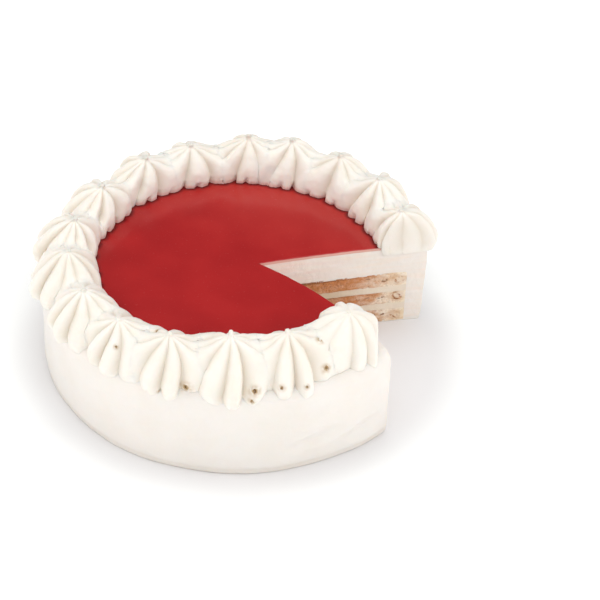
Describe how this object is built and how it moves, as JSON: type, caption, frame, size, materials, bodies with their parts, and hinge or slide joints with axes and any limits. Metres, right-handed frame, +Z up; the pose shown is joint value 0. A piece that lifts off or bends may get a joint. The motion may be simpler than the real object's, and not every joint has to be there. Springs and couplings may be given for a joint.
{
  "type": "strawberry layer cake",
  "caption": "Round layered cream cake with a red fruit glaze on top, a ring of piped cream rosettes on the rim and one wedge cut out to show sponge and cream layers.",
  "frame": {"origin": "centre of the cake's round underside, on the surface that it stands on", "axes": "+Z up through the cake's axis, -Y towards the side seen in the picture, +X through the missing wedge, near its farther cut"},
  "size_m": [0.245, 0.2494, 0.0905],
  "materials": {
    "icing": "soft satin whipped cream, smoothed with a palette knife",
    "rosette": "soft satin whipped cream, piped",
    "filling": "soft matt cream, cut with a knife",
    "sponge": "matt open crumb, soaked darker towards the middle",
    "glaze": "glossy smooth jelly glaze"
  },
  "bodies": {
    "root": {"icing": "icing", "sponge_bottom": "sponge", "filling_lower": "filling", "sponge_middle": "sponge", "filling_upper": "filling", "sponge_top": "sponge", "glaze": "glaze", "rosette_01": "rosette", "rosette_02": "rosette", "rosette_03": "rosette", "rosette_04": "rosette", "rosette_05": "rosette", "rosette_06": "rosette", "rosette_07": "rosette", "rosette_08": "rosette", "rosette_09": "rosette", "rosette_10": "rosette", "rosette_11": "rosette", "rosette_12": "rosette", "rosette_13": "rosette", "rosette_14": "rosette", "rosette_15": "rosette", "rosette_16": "rosette"}
  },
  "joints": []
}
